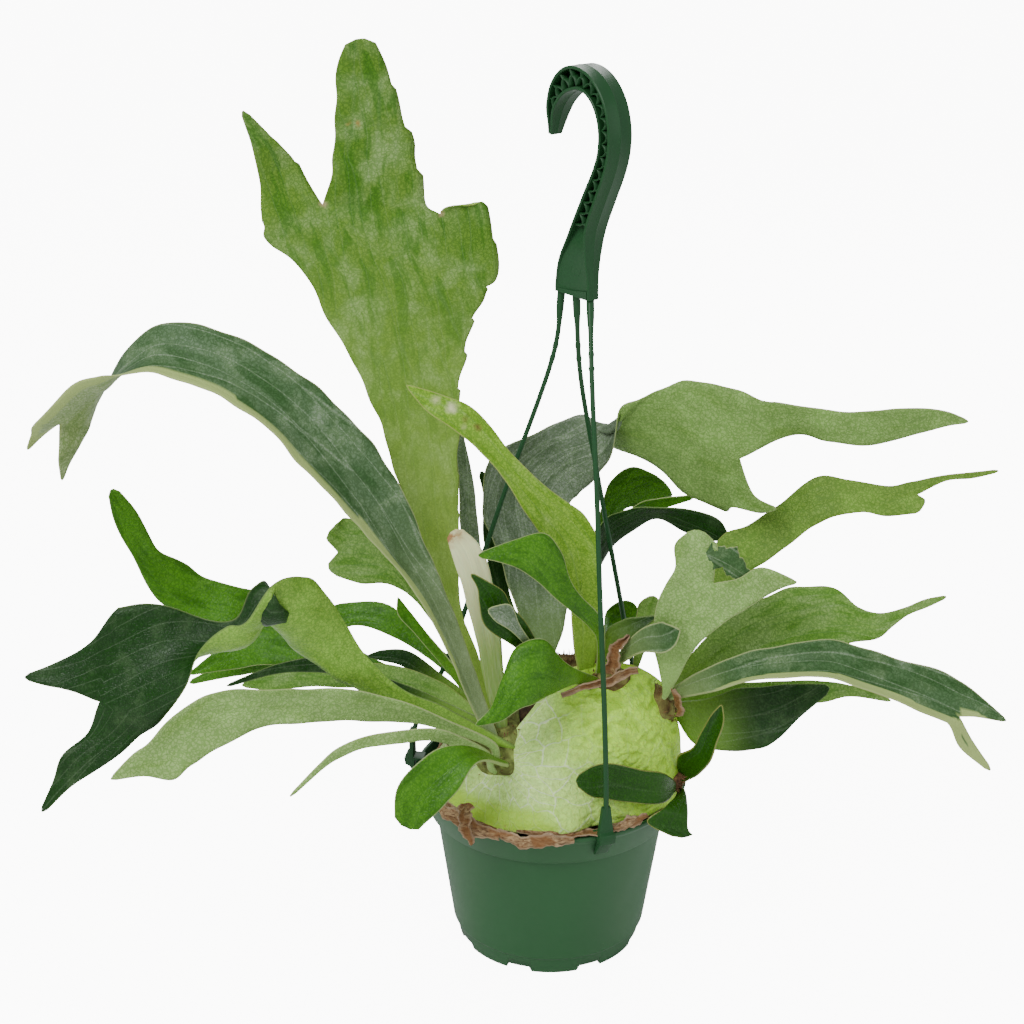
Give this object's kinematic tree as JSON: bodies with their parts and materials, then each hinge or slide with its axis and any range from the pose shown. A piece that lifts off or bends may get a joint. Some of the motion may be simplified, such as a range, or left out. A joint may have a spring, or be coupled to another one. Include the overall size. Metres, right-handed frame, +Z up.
{
  "type": "potted hanging plant",
  "caption": "Staghorn fern with forked antler fronds and a domed shield frond, in a green hanging pot on a moulded hook with strands.",
  "frame": {"origin": "middle of the pot's foot, on the pad that is level with the foot ring", "axes": "+Z up along the pot's axis, -Y towards the front of the plant, +X to its right as seen from the front, along the spread of the fronds"},
  "size_m": [0.5513, 0.2031, 0.5457],
  "materials": {
    "pot_plastic": "satin moulded plastic",
    "hanger_plastic": "satin moulded plastic",
    "potting_mix": "rough bark and fibre mix",
    "rhizome": "fibrous and scaly",
    "shield_green": "matte living shield frond",
    "shield_dry": "dry papery shield frond",
    "frond_deep": "satin dark blue-green frond",
    "frond_bright": "satin bright green frond",
    "frond_light": "satin light green frond",
    "frond_pale": "felted pale green frond",
    "frond_cream": "matte cream young frond"
  },
  "bodies": {
    "root": {"pot": "pot_plastic", "root_ball": "potting_mix", "hanger_hook": "hanger_plastic", "strand_front": "hanger_plastic", "strand_left": "hanger_plastic", "strand_back": "hanger_plastic", "shield_front": "shield_green", "shield_back": "shield_dry", "husk_front": "shield_dry", "crown_left": "rhizome", "crown_top": "rhizome", "crown_right": "rhizome", "crown_low": "rhizome", "frond_tall": "frond_light", "frond_arch_left": "frond_deep", "frond_behind_left": "frond_bright", "frond_fork_left": "frond_deep", "frond_pale_left": "frond_pale", "frond_narrow_left": "frond_pale", "frond_leaf_low": "frond_bright", "frond_behind_lobed": "frond_light", "frond_strap_back": "frond_bright", "frond_bud_leaf": "frond_bright", "frond_strap_olive": "frond_light", "frond_leaf_dark_left": "frond_deep", "frond_strap_dark_left": "frond_deep", "frond_cream_stub": "frond_cream", "frond_central": "frond_light", "frond_leaf_mid": "frond_bright", "frond_arch_right": "frond_deep", "frond_leaf_round_back": "frond_bright", "frond_strap_small_back": "frond_bright", "frond_leaf_back_right": "frond_deep", "frond_spread_right_high": "frond_pale", "frond_pale_fork": "frond_pale", "frond_spread_right_mid": "frond_light", "frond_arch_right_low": "frond_deep", "frond_dark_right": "frond_deep", "frond_pale_right_back": "frond_light", "frond_leaf_right": "frond_bright", "frond_leaf_short_low": "frond_deep", "frond_leaf_corner": "frond_bright", "frond_leaf_shield": "frond_bright", "frond_leaf_dark_mid": "frond_bright", "frond_leaf_curl": "frond_deep", "frond_cup_leaf_a": "frond_deep", "frond_cup_leaf_b": "frond_deep", "frond_leaf_round_a": "frond_bright", "frond_leaf_round_b": "frond_light", "frond_strap_rear_a": "frond_deep", "frond_strap_rear_b": "frond_deep"}
  },
  "joints": []
}
